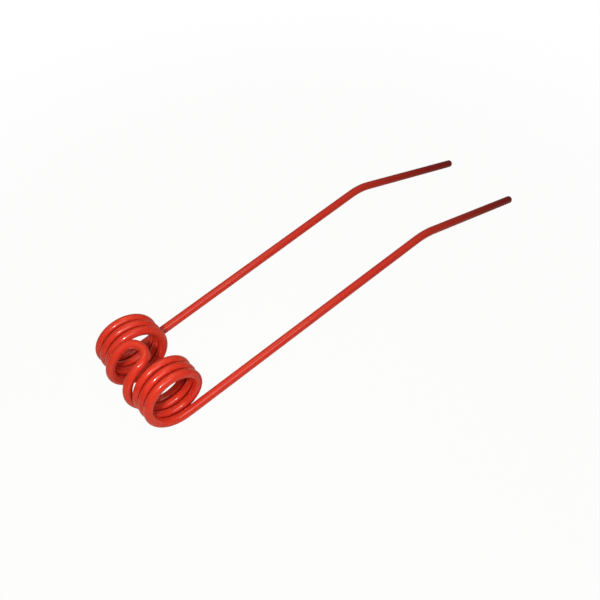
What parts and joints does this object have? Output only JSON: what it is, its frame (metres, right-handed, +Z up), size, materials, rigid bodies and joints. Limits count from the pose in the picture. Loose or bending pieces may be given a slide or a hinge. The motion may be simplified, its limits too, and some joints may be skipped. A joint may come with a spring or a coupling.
{
  "type": "spring tine",
  "caption": "Double-coil spring tine of painted round wire: wound coils joined by a bridging loop, and long legs with bent ends that comb the soil.",
  "frame": {"origin": "on the coil axis, midway between the coils", "axes": "+X from the coils along the legs to the points, +Y along the coil axis, +Z up when the tine lies on its loop and points"},
  "size_m": [0.6969, 0.1514, 0.0909],
  "materials": {
    "painted_wire": "gloss"
  },
  "bodies": {
    "root": {"spring_tine": "painted_wire"}
  },
  "joints": []
}
